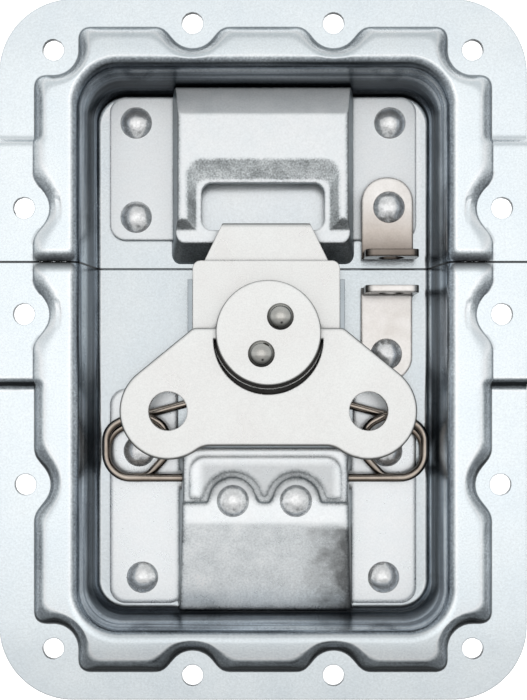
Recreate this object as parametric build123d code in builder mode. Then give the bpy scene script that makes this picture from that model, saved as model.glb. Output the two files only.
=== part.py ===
from build123d import *
from math import cos, degrees, radians, tan
import os

# Butterfly case latch, millimetres. The latch lies on its back: +Z points out of
# the case, +Y runs along the dish towards the keeper, and the back of the dish's
# flange is the plane Z = 0. The origin is the centre of the rivet hole pattern.

# Dish
sheet = 1.2
flange_size = (128.0, 170.0)
flange_corner = 18.0
ring_size = (111.0, 156.4)
ring_corner = 10.0
ring_height = 2.8
ring_taper = 16
ring_shoulder = 1.2
scallop_radius = 6.3
scallop_blend = 3.0
recess_depth = 12.8
floor_size = (84.4, 131.2)
floor_corner = 7.5
wall_lean = radians(11)
mouth_shoulder = 2.4
floor_round = 1.0
seam_y = 21.0
seam_gap = 0.6
valley_run = 4.5
valley_depth = 1.1
valley_slope = 0.4

# Case rivet holes
case_hole_radius = 2.6
corner_pitch = (101.7, 145.2)
end_pitch = (34.2, 158.2)
side_pitch = 115.2
side_rows = (34.0, 8.4, -32.8)

# Raised strips of the flange beside the seam
strip_rise = 1.6
strip_half_length = 28.2
strip_run = 2.4

# Sheet stacks inside the recess
plate = 1.5
plate_corner = 4.0
bend_round = 1.2
floor_z = -recess_depth
base_top = floor_z + plate
spring_wire = 2.0

# Keeper
keeper_size = (78.0, 36.3)
keeper_y = 46.45
keeper_foot = 23.3
keeper_head = 21.0
keeper_span = (22.3, 65.9)
keeper_top = -3.3
keeper_crest = (32.6, 58.3)
keeper_rear_z = -7.0
keeper_front_corner = 2.5
shelf_z = -6.1
shelf_span = (27.0, 30.0)
pocket_start = 20.0
pocket_top = (38.0, 47.3, 4.0)
pocket_foot = (33.2, 42.6, 2.4)
window_size = (30.8, 11.9)
window_y = 35.95

# Base bracket and its tunnel
bracket_x = 0.6
bracket_span = (-64.2, -9.7)
tunnel_span = (-65.4, -24.4)
tunnel_foot = 22.4
tunnel_head = 20.2
shelf_level = -5.2
roof_z = -3.6
crown_z = -2.9
foot_y = -38.1
crease_y = -43.1
tail_z = -9.5
crown_half_width = 18.9
crown_front_y = -26.2
crown_corner = 4.0
crown_round = 0.4
arch_radius = 5.7
arch_lean = 20
crown_gap = 1.5
bracket_flange = 19.0
bracket_flange_x = 29.5
spring_window = (5.0, 4.9, 1.2)
tunnel_rivet_spots = ((-7.5, -37.5), (8.2, -37.5))

# Draw mechanism
draw_x = 0.8
pivot_y = -32.0
pivot_z = -8.15
pivot_fit = 0.05
guide_sheet = 1.2
guide_bottom = -7.1
guide_half_width = 19.4
guide_top_y = 17.4
guide_leaf_y = -23.0
guide_wall_y = -20.0
link_width = 36.6
link_span = (-29.5, -20.5)
knuckle_x = 16.2
knuckle_widths = (4.2, 3.8)
journal_radius = 5.0
journal_play = 0.05
hook_bottom = -5.8
hook_sheet = 1.5
hook_half_width = 17.8
hook_neck_half_width = 15.3
nose_half_width = 10.8
nose_y = 31.6
nose_sheet = 1.3
nose_tip_z = -9.0
nose_round = 1.2
cover_bottom = -4.2
cover_sheet = 1.0
cover_top_y = 22.1
cover_low_y = -14.0
cover_corner = 2.0

# Rotor and wing
rotor_x = 1.3
rotor_y = 4.0
cam_radius = 8.0
cam_throw = 3.5
cam_slot_run = 7.0
cam_slot_play = 0.85
neck_radius = 9.0
head_radius = 8.5
washer_radius = 13.0
washer_sheet = 0.5
slot_half = 1.9
disc_radius = 12.75
disc_bottom = 0.7
disc_sheet = 1.5
bar_y = 3.8
wing_z = -1.0
wing_sheet = 1.6
lobe_reach = 24.5
lobe_y = -15.05
lobe_radius = 11.9
lobe_hole_radius = 4.73
wing_round = (17.5, 2.8, 2.5)
wing_low_y = -23.6
wing_hollow_round = 6.0
cutout_radius = 13.4
cutout_y = 2.4
bar_round = 0.7
ball_spots = ((2.9, 3.9), (-1.7, -5.1))
ball_radius = 3.25
ball_height = 2.2
ball_shank = 2.0
ball_depth = 4.5
disc_round = 0.4

# Padlock eyelets
eyelet_x = 31.5
eyelet_width = 13.0
ear_width = 13.3
ear_top = -2.9
padlock_radius = 3.2
eyelet_bend = 1.4

os.makedirs("parts", exist_ok=True)


def save(solid, name):
    """Label a finished piece and write its STEP file."""
    solid.label = name
    export_step(solid, f"parts/{name}.step")


def case_holes():
    """Centres of the fourteen holes for the case rivets."""
    spots = []
    for width, height in (corner_pitch, end_pitch):
        for side in (-1, 1):
            for end in (-1, 1):
                spots.append((side * width / 2, end * height / 2))
    for row in side_rows:
        spots.append((-side_pitch / 2, row))
        spots.append((side_pitch / 2, row))
    return spots


floor_rivets = {
    "keeper_rivet_left_end": (-32.3, 58.1),
    "keeper_rivet_right_end": (32.3, 58.1),
    "keeper_rivet_left_seam": (-32.3, 34.1),
    "upper_eyelet_rivet": (31.9, 36.4),
    "lower_eyelet_rivet": (31.4, -0.8),
    "bracket_rivet_left_seam": (-31.5, -25.4),
    "bracket_rivet_right_seam": (31.5, -25.4),
    "bracket_rivet_left_end": (-30.7, -57.6),
    "bracket_rivet_right_end": (30.7, -57.6),
}
rivet_shank = 2.3
rivet_play = 0.03


def pressed_form(drop):
    """Everything under the dish's face: its outer face at drop 0, and the face
    on its back at a drop of one sheet."""
    base = -20.0
    with BuildPart() as form:
        with BuildSketch(Plane.XY.offset(base)):
            RectangleRounded(*flange_size, flange_corner)
        extrude(amount=sheet - drop - base)
        # Strips that step up over the case's edge section
        with BuildSketch(Plane.YZ.offset(50)) as strip:
            with BuildLine():
                Polyline(
                    (seam_y - strip_half_length - strip_run, sheet - drop),
                    (seam_y - strip_half_length, sheet + strip_rise - drop),
                    (seam_y + strip_half_length, sheet + strip_rise - drop),
                    (seam_y + strip_half_length + strip_run, sheet - drop),
                    close=True,
                )
            make_face()
        extrude(amount=flange_size[0] / 2 - 50)
        with BuildSketch(Plane.YZ.offset(-flange_size[0] / 2)):
            add(strip.sketch_local)
        extrude(amount=flange_size[0] / 2 - 50)
        # Scalloped ring
        with BuildSketch(Plane.XY.offset(sheet - drop)):
            RectangleRounded(ring_size[0] - drop * 0.6, ring_size[1] - drop * 0.6, ring_corner)
            with Locations(*case_holes()):
                Circle(scallop_radius + drop * 0.3, mode=Mode.SUBTRACT)
            offset(amount=-scallop_blend, kind=Kind.INTERSECTION, mode=Mode.REPLACE)
            offset(amount=scallop_blend, kind=Kind.ARC, mode=Mode.REPLACE)
        extrude(amount=ring_height, taper=ring_taper)
        crest = form.faces().sort_by(Axis.Z)[-1]
        fillet(crest.edges(), ring_shoulder - drop / 2)
    return form.part


def recess_form(drop):
    """The recess under the dish's face, or under its back at one sheet: walls
    that lean out from the floor, with a round at the floor and at the mouth."""
    floor_level = floor_z - drop
    grow = drop / cos(wall_lean) - drop * tan(wall_lean)
    crest_level = sheet + ring_height - drop
    with BuildPart() as form:
        with BuildSketch(Plane.XY.offset(floor_level)):
            RectangleRounded(floor_size[0] + 2 * grow, floor_size[1] + 2 * grow, floor_corner + grow)
        extrude(amount=crest_level - floor_level, taper=-degrees(wall_lean))
        fillet(form.faces().sort_by(Axis.Z)[0].edges(), floor_round + drop)
    return form.part


def rounded_recess(drop):
    """The pressed form with its recess and the soft shoulder round the mouth."""
    with BuildPart() as rounded:
        add(pressed_form(drop))
        add(recess_form(drop), mode=Mode.SUBTRACT)
        crest = rounded.faces().filter_by(Axis.Z).sort_by(Axis.Z)[-1]
        fillet(crest.inner_wires()[0].edges(), mouth_shoulder - drop)
        # The halves' ends roll down towards each other where the ring meets the seam
        crest_level = sheet + ring_height - drop
        with BuildSketch(Plane.YZ.offset(-flange_size[0] / 2)):
            with BuildLine():
                for side in (-1, 1):
                    Spline(
                        (seam_y + side * valley_run, crest_level),
                        (seam_y, crest_level - valley_depth),
                        tangents=((-side, 0), (-side, -valley_slope)),
                    )
                Line((seam_y - valley_run, crest_level), (seam_y + valley_run, crest_level))
            make_face()
        extrude(amount=flange_size[0], mode=Mode.SUBTRACT)
    return rounded.part


dish_back = rounded_recess(sheet)
with BuildPart() as dish:
    add(rounded_recess(0))
    add(dish_back, mode=Mode.SUBTRACT)
    with Locations(*case_holes()):
        Hole(case_hole_radius)
    with Locations(*floor_rivets.values()):
        Hole(rivet_shank + rivet_play)

# The two halves meet at the seam with a narrow gap
with BuildPart() as upper_dish:
    add(dish.part)
    split(bisect_by=Plane(origin=(0, seam_y + seam_gap / 2, 0), z_dir=(0, 1, 0)))
save(upper_dish.part, "upper_dish")

with BuildPart() as lower_dish:
    add(dish.part)
    split(bisect_by=Plane(origin=(0, seam_y - seam_gap / 2, 0), z_dir=(0, -1, 0)))
save(lower_dish.part, "lower_dish")


# How far a sloping face moves sideways, per millimetre of sheet, so that the sheet
# keeps its thickness: at a channel's sides, front, front crease and pocket walls
side_share = 1.02
front_share = 1.2
crease_share = 0.4
pocket_share = 0.8
open_end = 1.0


def channel_form(foot, head, foot_z, head_z, x, span):
    """A straight raised channel with sloping sides, as a solid form."""
    with BuildPart() as form:
        with BuildSketch(Plane.XZ.offset(-span[1])):
            Polygon(
                (x - foot, foot_z), (x + foot, foot_z), (x + head, head_z), (x - head, head_z), align=None
            )
        extrude(amount=span[1] - span[0])
    return form.part


def cut_profile(form, points, half_width, x):
    """Keep of a form what lies under a profile drawn in the YZ plane."""
    with BuildPart() as kept:
        add(form)
        with BuildSketch(Plane.YZ.offset(x - half_width)):
            Polygon(*points, align=None)
        extrude(amount=2 * half_width, mode=Mode.INTERSECT)
    return kept.part


# Keeper: base plate with a raised, pocketed channel that the hook reaches into
def keeper_form(drop):
    """The keeper's channel under its face, or under its back at one plate. The
    back's end runs on past the sheet, so that the channel is open there."""
    side = drop * side_share
    overrun = open_end if drop else 0
    end_y = keeper_span[1] + overrun
    span = (keeper_span[0], end_y)
    form = channel_form(keeper_foot - side, keeper_head - side, floor_z, keeper_top - drop, 0, span)
    rear_slope = (keeper_top - keeper_rear_z) / (keeper_span[1] - keeper_crest[1])
    profile = (
        (keeper_span[0] + drop * front_share, floor_z),
        (shelf_span[0] + drop * crease_share, shelf_z - drop),
        (shelf_span[1], shelf_z - drop),
        (keeper_crest[0], keeper_top - drop),
        (keeper_crest[1], keeper_top - drop),
        (end_y, keeper_rear_z - drop - overrun * rear_slope),
        (end_y, keeper_rear_z - 2.3),
        (end_y - 1.8, floor_z),
    )
    return cut_profile(form, profile, keeper_foot, 0)


def pocket_form(drop):
    """The pocket round the hook window, from the channel's top down to the shelf."""
    grow = drop * pocket_share
    with BuildPart() as form:
        for level, (width, far_y, corner) in ((keeper_top, pocket_top), (shelf_z, pocket_foot)):
            with BuildSketch(Plane.XY.offset(level - drop)):
                with Locations((0, (pocket_start + far_y + grow) / 2)):
                    RectangleRounded(width + 2 * grow, far_y - pocket_start + grow, corner)
        loft()
    return form.part


# Hollow behind the keeper's channel, one thickness of plate inside its face
with BuildPart() as keeper_hollow:
    add(keeper_form(plate))
    add(pocket_form(plate), mode=Mode.SUBTRACT)

with BuildPart() as keeper_face:
    add(keeper_form(0))
    front_corners = keeper_face.edges().filter_by(
        lambda edge: edge.center().Y < shelf_span[0]
        and abs(edge.center().X) > keeper_head - 1
        and edge.center().Z > floor_z + 0.5
    )
    fillet(front_corners, keeper_front_corner)
    add(pocket_form(0), mode=Mode.SUBTRACT)
    crest = keeper_face.faces().filter_by(Axis.Z).sort_by(Axis.Z)[-1]
    fillet(crest.edges(), bend_round)

with BuildPart() as keeper:
    with BuildSketch(Plane.XY.offset(floor_z)):
        with Locations((0, keeper_y)):
            RectangleRounded(*keeper_size, plate_corner)
    extrude(amount=plate)
    add(keeper_face.part)
    add(keeper_hollow.part, mode=Mode.SUBTRACT)
    with BuildSketch(Plane.XY.offset(keeper_top)):
        with Locations((0, window_y)):
            RectangleRounded(*window_size, 2.75)
    extrude(amount=-6, mode=Mode.SUBTRACT)
    for name in floor_rivets:
        if name.startswith("keeper") or name == "upper_eyelet_rivet":
            with Locations(floor_rivets[name]):
                Hole(rivet_shank + rivet_play)
save(keeper.part, "keeper_plate")


# Base bracket: two flanges and a tunnel whose roof drops to a shelf round two rivets
arch_share = 0.6
crown_share = 0.5
arch_blend = 1.2
crown_blend = 0.9
crown_lean = 30


def shelf_pocket(drop):
    """The pocket above the shelf: its edge arches over both rivets."""
    grow = drop * arch_share
    with BuildPart() as form:
        with BuildSketch(Plane.XY.offset(shelf_level - drop)):
            with Locations((bracket_x, foot_y + grow - tunnel_foot)):
                Rectangle(2 * tunnel_foot, 2 * tunnel_foot)
            with Locations(*tunnel_rivet_spots):
                Circle(arch_radius + grow)
            for amount in (arch_blend, -arch_blend):
                offset(amount=amount, kind=Kind.ARC, mode=Mode.REPLACE)
        extrude(amount=roof_z - shelf_level + 2, taper=-arch_lean)
    return form.part


def crown_form(drop):
    """The low crown embossed on the roof, set in from the pocket's edge."""
    shrink = drop * crown_share
    half_width = crown_half_width - shrink
    front_y = crown_front_y - shrink
    with BuildPart() as form:
        with BuildSketch(Plane.XY.offset(roof_z - drop)) as outline:
            with Locations((bracket_x, (front_y + foot_y) / 2)):
                Rectangle(2 * half_width, front_y - foot_y)
            fillet(outline.vertices().group_by(Axis.Y)[-1], crown_corner)
            with Locations(*tunnel_rivet_spots):
                Circle(arch_radius + crown_gap + shrink, mode=Mode.SUBTRACT)
            with Locations((bracket_x, foot_y)):
                Rectangle(2 * half_width, 2 * (arch_blend + shrink), mode=Mode.SUBTRACT)
            offset(amount=-crown_blend, kind=Kind.INTERSECTION, mode=Mode.REPLACE)
            offset(amount=crown_blend, kind=Kind.ARC, mode=Mode.REPLACE)
        extrude(amount=crown_z - roof_z, taper=crown_lean)
    return form.part


def tunnel_form(drop):
    """The tunnel under its face, or under its back at one plate."""
    side = drop * side_share
    overrun = open_end if drop else 0
    form = channel_form(
        tunnel_foot - side, tunnel_head - side, floor_z, roof_z - drop, bracket_x,
        (tunnel_span[0] - open_end, tunnel_span[1] + open_end),
    )
    tail_slope = (shelf_level - tail_z) / (crease_y - tunnel_span[0])
    arch_y = foot_y - 2.0
    profile = (
        (tunnel_span[0] + 0.9 - overrun, floor_z),
        (tunnel_span[0] - overrun, tail_z - 1.3 - drop),
        (tunnel_span[0] - overrun, tail_z - drop - overrun * tail_slope),
        (crease_y, shelf_level - drop),
        (arch_y, shelf_level - drop),
        (arch_y, roof_z - drop),
        (tunnel_span[1] + overrun, roof_z - drop),
        (tunnel_span[1] + overrun, floor_z),
    )
    with BuildPart() as tunnel:
        add(cut_profile(form, profile, tunnel_foot, bracket_x))
        add(shelf_pocket(drop), mode=Mode.SUBTRACT)
        add(crown_form(drop))
    return tunnel.part


with BuildPart() as tunnel_face:
    add(tunnel_form(0))
    crown_top = tunnel_face.faces().filter_by(Axis.Z).sort_by(Axis.Z)[-1]
    fillet(crown_top.edges(), crown_round)
    # Long bends beside the roof and the tail, and the crease between shelf and tail
    side_bends = tunnel_face.edges().filter_by(
        lambda edge: abs(edge.center().X - bracket_x) > tunnel_head - 1
        and edge.center().Z > tail_z
        and edge.length > 4
    )
    crease = tunnel_face.edges().filter_by(Axis.X).filter_by_position(
        Axis.Y, crease_y - 0.01, crease_y + 0.01
    )
    fillet(side_bends + crease, bend_round)
tunnel_back = tunnel_form(plate)
with BuildPart() as bracket:
    with BuildSketch(Plane.XY.offset(floor_z)):
        for side in (-1, 1):
            with Locations((side * bracket_flange_x, (bracket_span[0] + bracket_span[1]) / 2)):
                RectangleRounded(bracket_flange, bracket_span[1] - bracket_span[0], plate_corner)
        # Open in front of the tunnel's mouth
        with Locations((bracket_x, bracket_span[1])):
            Rectangle(2 * tunnel_foot, 2 * (bracket_span[1] - tunnel_span[1]), mode=Mode.SUBTRACT)
    extrude(amount=plate)
    add(tunnel_face.part)
    add(tunnel_back, mode=Mode.SUBTRACT)
    # Side windows that the spring passes through
    with BuildSketch(Plane.YZ.offset(bracket_x - tunnel_foot)):
        with Locations((pivot_y - 0.4, pivot_z - 0.75)):
            RectangleRounded(*spring_window)
    extrude(amount=2 * tunnel_foot, mode=Mode.SUBTRACT)
    for name in floor_rivets:
        if name.startswith("bracket"):
            with Locations(floor_rivets[name]):
                Hole(rivet_shank + rivet_play)
    with Locations(*tunnel_rivet_spots):
        Hole(rivet_shank + rivet_play)
save(bracket.part, "bracket")

# Strap under the tunnel's shelf: it carries the spring's bottom run
strap_sheet = 1.2
strap_half_width = 13.0
strap_rear_y = -41.5
lip_z = pivot_z - 1.05
shelf_under = shelf_level - plate
lip_y = pivot_y - spring_wire / 2 - 0.1
with BuildPart() as strap:
    with BuildSketch(Plane.YZ.offset(bracket_x - strap_half_width)):
        with BuildLine():
            Polyline(
                (strap_rear_y, shelf_under),
                (lip_y, shelf_under),
                (lip_y, lip_z),
                (lip_y - strap_sheet, lip_z),
                (lip_y - strap_sheet, shelf_under - strap_sheet),
                (strap_rear_y, shelf_under - strap_sheet),
                close=True,
            )
        make_face()
    extrude(amount=2 * strap_half_width)
    # Gap for the middle knuckle of the guide channel
    with Locations((bracket_x, -31.5, pivot_z)):
        Box(7.0, 7.6, 8.0, mode=Mode.SUBTRACT)
    with Locations(*tunnel_rivet_spots):
        Hole(rivet_shank + rivet_play)
save(strap.part, "spring_strap")

# Rivets: domed head, shank, and a clenched tail behind the sheets
head_radius_rivet = 4.0
head_height_rivet = 1.9
tail_radius = 3.1
tail_height = 0.9


def dome(radius, height):
    """Radius of the ball that a domed head is cut from."""
    return (radius ** 2 + height ** 2) / (2 * height)


def make_rivet(name, spot, seat, under):
    """A rivet whose head sits at seat and whose tail closes against under."""
    x, y = spot
    section_plane = Plane(origin=(x, y, 0), x_dir=(1, 0, 0), z_dir=(0, -1, 0))
    ball = dome(head_radius_rivet, head_height_rivet)
    with BuildPart() as rivet:
        with BuildSketch(section_plane):
            with BuildLine():
                Polyline(
                    (0, seat + head_height_rivet),
                    (0, under - tail_height),
                    (tail_radius, under - tail_height),
                    (tail_radius, under),
                    (rivet_shank, under),
                    (rivet_shank, seat),
                    (head_radius_rivet, seat),
                )
                RadiusArc((head_radius_rivet, seat), (0, seat + head_height_rivet), -ball)
            make_face()
        revolve(axis=Axis((x, y, 0), (0, 0, 1)))
    save(rivet.part, name)


dish_under = floor_z - sheet
eyelet_sheet = 1.5
for name, spot in floor_rivets.items():
    seat = base_top
    if name == "upper_eyelet_rivet":
        seat = base_top + eyelet_sheet
    if name == "lower_eyelet_rivet":
        seat = floor_z + eyelet_sheet
    make_rivet(name, spot, seat, dish_under)
for name, spot in zip(("tunnel_rivet_left", "tunnel_rivet_right"), tunnel_rivet_spots):
    make_rivet(name, spot, shelf_level, shelf_under - strap_sheet)


# Padlock eyelets: a flat plate with an ear standing at the seam
def make_eyelet(name, plate_z, plate_span, ear_span, rivet, round_end):
    """One eyelet. The ear's padlock hole runs along Y."""
    with BuildPart() as eyelet:
        middle = (plate_span[0] + plate_span[1]) / 2
        with BuildSketch(Plane.XY.offset(plate_z)) as foot:
            with Locations((eyelet_x, middle)):
                Rectangle(eyelet_width, plate_span[1] - plate_span[0])
            ends = foot.vertices().sort_by(Axis.Y)
            fillet(ends[-2:] if round_end > 0 else ends[:2], 6.2)
        extrude(amount=eyelet_sheet)
        with BuildSketch(Plane.XZ.offset(-ear_span[1])) as ear:
            with Locations((eyelet_x + 0.6, (plate_z + ear_top) / 2)):
                Rectangle(ear_width, ear_top - plate_z)
            fillet(ear.vertices().sort_by(Axis.Y)[-2:], 2.2)
            with Locations((eyelet_x + 0.6, -6.9)):
                Circle(padlock_radius, mode=Mode.SUBTRACT)
        extrude(amount=ear_span[1] - ear_span[0])
        # Outer bend between the plate and its ear
        seam_side = ear_span[0] if round_end > 0 else ear_span[1]
        bend = eyelet.edges().filter_by(Axis.X).filter_by_position(Axis.Y, seam_side - 0.01, seam_side + 0.01)
        fillet(bend.sort_by(Axis.Z)[0], eyelet_bend)
        with Locations((*rivet, plate_z)):
            Hole(rivet_shank + rivet_play)
    save(eyelet.part, name)


make_eyelet("upper_eyelet", base_top, (23.2, 43.9), (23.2, 25.0), floor_rivets["upper_eyelet_rivet"], 1)
make_eyelet("lower_eyelet", floor_z, (-7.6, 16.1), (14.3, 16.1), floor_rivets["lower_eyelet_rivet"], -1)

# Guide channel: leaf with side walls, pivoted on the spring's bottom run
pivot_bore = spring_wire / 2 + pivot_fit
curl_radius = pivot_bore + guide_sheet
guide_top = guide_bottom + guide_sheet
cover_top = cover_bottom + cover_sheet
knuckles = (
    (bracket_x, knuckle_widths[0]),
    (bracket_x - knuckle_x, knuckle_widths[1]),
    (bracket_x + knuckle_x, knuckle_widths[1]),
)
with BuildPart() as guide:
    with BuildSketch(Plane.XY.offset(guide_bottom)):
        with Locations((draw_x, (guide_top_y + guide_leaf_y) / 2)):
            Rectangle(2 * guide_half_width, guide_top_y - guide_leaf_y)
        with Locations((bracket_x, (link_span[0] + link_span[1]) / 2)):
            Rectangle(link_width, link_span[1] - link_span[0])
        for x, width in knuckles:
            with Locations((x, (pivot_y + link_span[0] + 1) / 2)):
                Rectangle(width, link_span[0] + 1 - pivot_y)
    extrude(amount=guide_sheet)
    for side in (-1, 1):
        wall_x = draw_x + side * (guide_half_width - guide_sheet / 2)
        with Locations((wall_x, (guide_top_y + guide_wall_y) / 2, (guide_bottom + cover_top) / 2)):
            Box(guide_sheet, guide_top_y - guide_wall_y, cover_top - guide_bottom)
    for x, width in knuckles:
        with BuildSketch(Plane.YZ.offset(x - width / 2)):
            with Locations((pivot_y, pivot_z)):
                Circle(curl_radius)
        extrude(amount=width)
    with BuildSketch(Plane.YZ.offset(bracket_x - link_width / 2)):
        with Locations((pivot_y, pivot_z)):
            Circle(pivot_bore)
    extrude(amount=link_width, mode=Mode.SUBTRACT)
    with Locations((rotor_x, rotor_y, 0)):
        Hole(journal_radius + journal_play)
save(guide.part, "guide_channel")

# Hook plate: slides in the guide, and its nose curls down behind the keeper's bar
hook_top = hook_bottom + hook_sheet
hook_right = (
    (hook_half_width, -10.5),
    (hook_half_width, 12.0),
    (hook_neck_half_width, 14.5),
    (hook_neck_half_width, cover_top_y + 0.2),
    (nose_half_width, nose_y),
)
with BuildPart() as hook:
    with BuildSketch(Plane.XY.offset(hook_bottom)):
        right = [(draw_x + x, y) for x, y in hook_right]
        left = [(draw_x - x, y) for x, y in reversed(hook_right)]
        Polygon(*right, *left, align=None)
        with Locations((rotor_x, rotor_y - cam_throw)):
            SlotCenterToCenter(cam_slot_run, 2 * (cam_radius + cam_slot_play), mode=Mode.SUBTRACT)
    extrude(amount=hook_sheet)
    with Locations((draw_x, nose_y - nose_sheet / 2, (hook_top + nose_tip_z) / 2)):
        Box(2 * nose_half_width, nose_sheet, hook_top - nose_tip_z)
    nose_edges = hook.edges().filter_by(Axis.X).filter_by_position(Axis.Y, nose_y - 0.01, nose_y + 0.01)
    fillet(nose_edges.sort_by(Axis.Z)[-1], nose_round)
save(hook.part, "hook_plate")

# Cover plate between the guide's walls
with BuildPart() as cover:
    with BuildSketch(Plane.XY.offset(cover_bottom)):
        with Locations((draw_x, (cover_top_y + cover_low_y) / 2)):
            RectangleRounded(2 * (guide_half_width - guide_sheet), cover_top_y - cover_low_y, cover_corner)
        with Locations((rotor_x, rotor_y)):
            Circle(neck_radius + journal_play, mode=Mode.SUBTRACT)
    extrude(amount=cover_sheet)
save(cover.part, "cover_plate")

# Cam hub: foot, journal in the guide, eccentric in the hook's slot, slotted head
washer_bottom = cover_top + journal_play
washer_top = washer_bottom + washer_sheet
slot_floor = wing_z - 1.6
rotor_plane = Plane(origin=(rotor_x, rotor_y, 0))
hub_steps = (
    (journal_radius + 1.6, guide_bottom - 1.0, guide_bottom - journal_play, 0),
    (journal_radius, guide_bottom - journal_play, cover_bottom, 0),
    (cam_radius, guide_top + journal_play, cover_bottom - journal_play, -cam_throw),
    (neck_radius, cover_bottom - journal_play, washer_top, 0),
    (head_radius, washer_top, disc_bottom, 0),
)
with BuildPart() as hub:
    for radius, low, high, shift in hub_steps:
        with BuildSketch(rotor_plane.offset(low)):
            with Locations((0, shift)):
                Circle(radius)
        extrude(amount=high - low)
    with Locations((rotor_x, bar_y, (slot_floor + disc_bottom) / 2)):
        Box(2 * neck_radius, 2 * slot_half, disc_bottom - slot_floor, mode=Mode.SUBTRACT)
    for dx, dy in ball_spots:
        with Locations((rotor_x + dx, rotor_y + dy, disc_bottom)):
            Hole(ball_shank + rivet_play, depth=ball_depth + 0.1)
save(hub.part, "cam_hub")

with BuildPart() as washer:
    with BuildSketch(rotor_plane.offset(washer_bottom)):
        Circle(washer_radius)
        Circle(neck_radius + rivet_play, mode=Mode.SUBTRACT)
    extrude(amount=washer_sheet)
save(washer.part, "hub_washer")

disc_top = disc_bottom + disc_sheet
with BuildPart() as disc:
    with BuildSketch(rotor_plane.offset(disc_bottom)):
        Circle(disc_radius)
        with Locations(*ball_spots):
            Circle(ball_shank + rivet_play, mode=Mode.SUBTRACT)
    extrude(amount=disc_sheet)
    rim = disc.edges().filter_by(GeomType.CIRCLE).sort_by(SortBy.RADIUS)[-2:]
    fillet(rim.sort_by(Axis.Z)[-1], disc_round)
save(disc.part, "rotor_disc")

for index, (dx, dy) in enumerate(ball_spots):
    x = rotor_x + dx
    y = rotor_y + dy
    section_plane = Plane(origin=(x, y, 0), x_dir=(1, 0, 0), z_dir=(0, -1, 0))
    with BuildPart() as ball:
        with BuildSketch(section_plane):
            with BuildLine():
                Polyline(
                    (0, disc_top + ball_height),
                    (0, disc_bottom - ball_depth),
                    (ball_shank, disc_bottom - ball_depth),
                    (ball_shank, disc_top),
                    (ball_radius, disc_top),
                )
                ball_curve = dome(ball_radius, ball_height)
                RadiusArc((ball_radius, disc_top), (0, disc_top + ball_height), -ball_curve)
            make_face()
        revolve(axis=Axis((x, y, 0), (0, 0, 1)))
    save(ball.part, ("disc_rivet_upper", "disc_rivet_lower")[index])

# Butterfly wing: two lobes, and a cross bar that turns in the hub's slot
wing_bottom = wing_z - wing_sheet / 2
with BuildPart() as wing:
    with BuildSketch(Plane.XY.offset(wing_bottom)) as wing_outline:
        with BuildSketch(mode=Mode.PRIVATE) as rounds:
            with Locations((rotor_x - lobe_reach, lobe_y), (rotor_x + lobe_reach, lobe_y)):
                Circle(lobe_radius)
            for side in (-1, 1):
                with Locations((rotor_x + side * wing_round[0], wing_round[1])):
                    Circle(wing_round[2])
        make_hull(rounds.edges())
        with Locations((rotor_x, wing_low_y - 5)):
            Rectangle(2 * lobe_reach, 10, mode=Mode.SUBTRACT)
        with Locations((rotor_x - lobe_reach, lobe_y), (rotor_x + lobe_reach, lobe_y)):
            Circle(lobe_radius)
        hollows = wing_outline.vertices().filter_by_position(Axis.Y, wing_low_y - 0.1, wing_low_y + 0.1)
        fillet(hollows, wing_hollow_round)
        with BuildSketch(mode=Mode.PRIVATE) as cutout:
            with Locations((rotor_x, cutout_y)):
                Circle(cutout_radius)
            with Locations((rotor_x, wing_round[1] - 0.5 + cutout_radius)):
                Rectangle(4 * cutout_radius, 2 * cutout_radius, mode=Mode.SUBTRACT)
        add(cutout.sketch, mode=Mode.SUBTRACT)
        with Locations((rotor_x - lobe_reach, lobe_y), (rotor_x + lobe_reach, lobe_y)):
            Circle(lobe_hole_radius, mode=Mode.SUBTRACT)
    extrude(amount=wing_sheet)
    bar_edges = wing.edges().filter_by(Axis.X).filter_by_position(Axis.Y, bar_y - 1.6, bar_y + 1.6)
    fillet(bar_edges, bar_round)
save(wing.part, "wing")

# Wire spring: a coil on each side, joined by the run through the tunnel
coil_drop = 2.1
low_z = pivot_z - coil_drop


def coil_points(side):
    """Corners of one side's coil, from the tunnel run to the free end."""
    x = bracket_x
    return [
        (x + side * 40.1, -32.0, pivot_z),
        (x + side * 40.1, -19.6, pivot_z),
        (x + side * 32.0, -15.4, pivot_z),
        (x + side * 24.9, -19.0, pivot_z),
        (x + side * 24.9, -26.4, pivot_z - coil_drop / 2),
        (x + side * 30.0, -32.0, low_z),
        (x + side * 40.1, -32.0, low_z),
        (x + side * 40.1, -21.6, low_z),
        (x + side * 31.6, -16.5, low_z),
        (x + side * 1.6, -8.4, low_z),
    ]


coil_radii = [6.2, 5.0, 6.0, 4.6, 4.0, 4.0, 5.6, 6.0, 14.0]
with BuildPart() as spring:
    with BuildLine() as wire:
        left = coil_points(-1)
        right = coil_points(1)
        FilletPolyline(*left[::-1], *right, radius=coil_radii[::-1] + coil_radii)
    with BuildSketch(Plane(origin=wire.wires()[0] @ 0, z_dir=wire.wires()[0] % 0)):
        Circle(spring_wire / 2)
    sweep(path=wire.wires()[0])
save(spring.part, "wire_spring")
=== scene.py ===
# %% [markdown]
# # Butterfly case latch: the looks
# The latch is a piece of plated sheet steel, so nearly all of its look is reflection. This
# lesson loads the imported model, gives every piece the finish its real one has, and lights it
# the way small metal goods are lit: one broad soft light above and darker surroundings, so
# that flat faces shine and steep walls fall into shade.

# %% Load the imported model
import math

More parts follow.
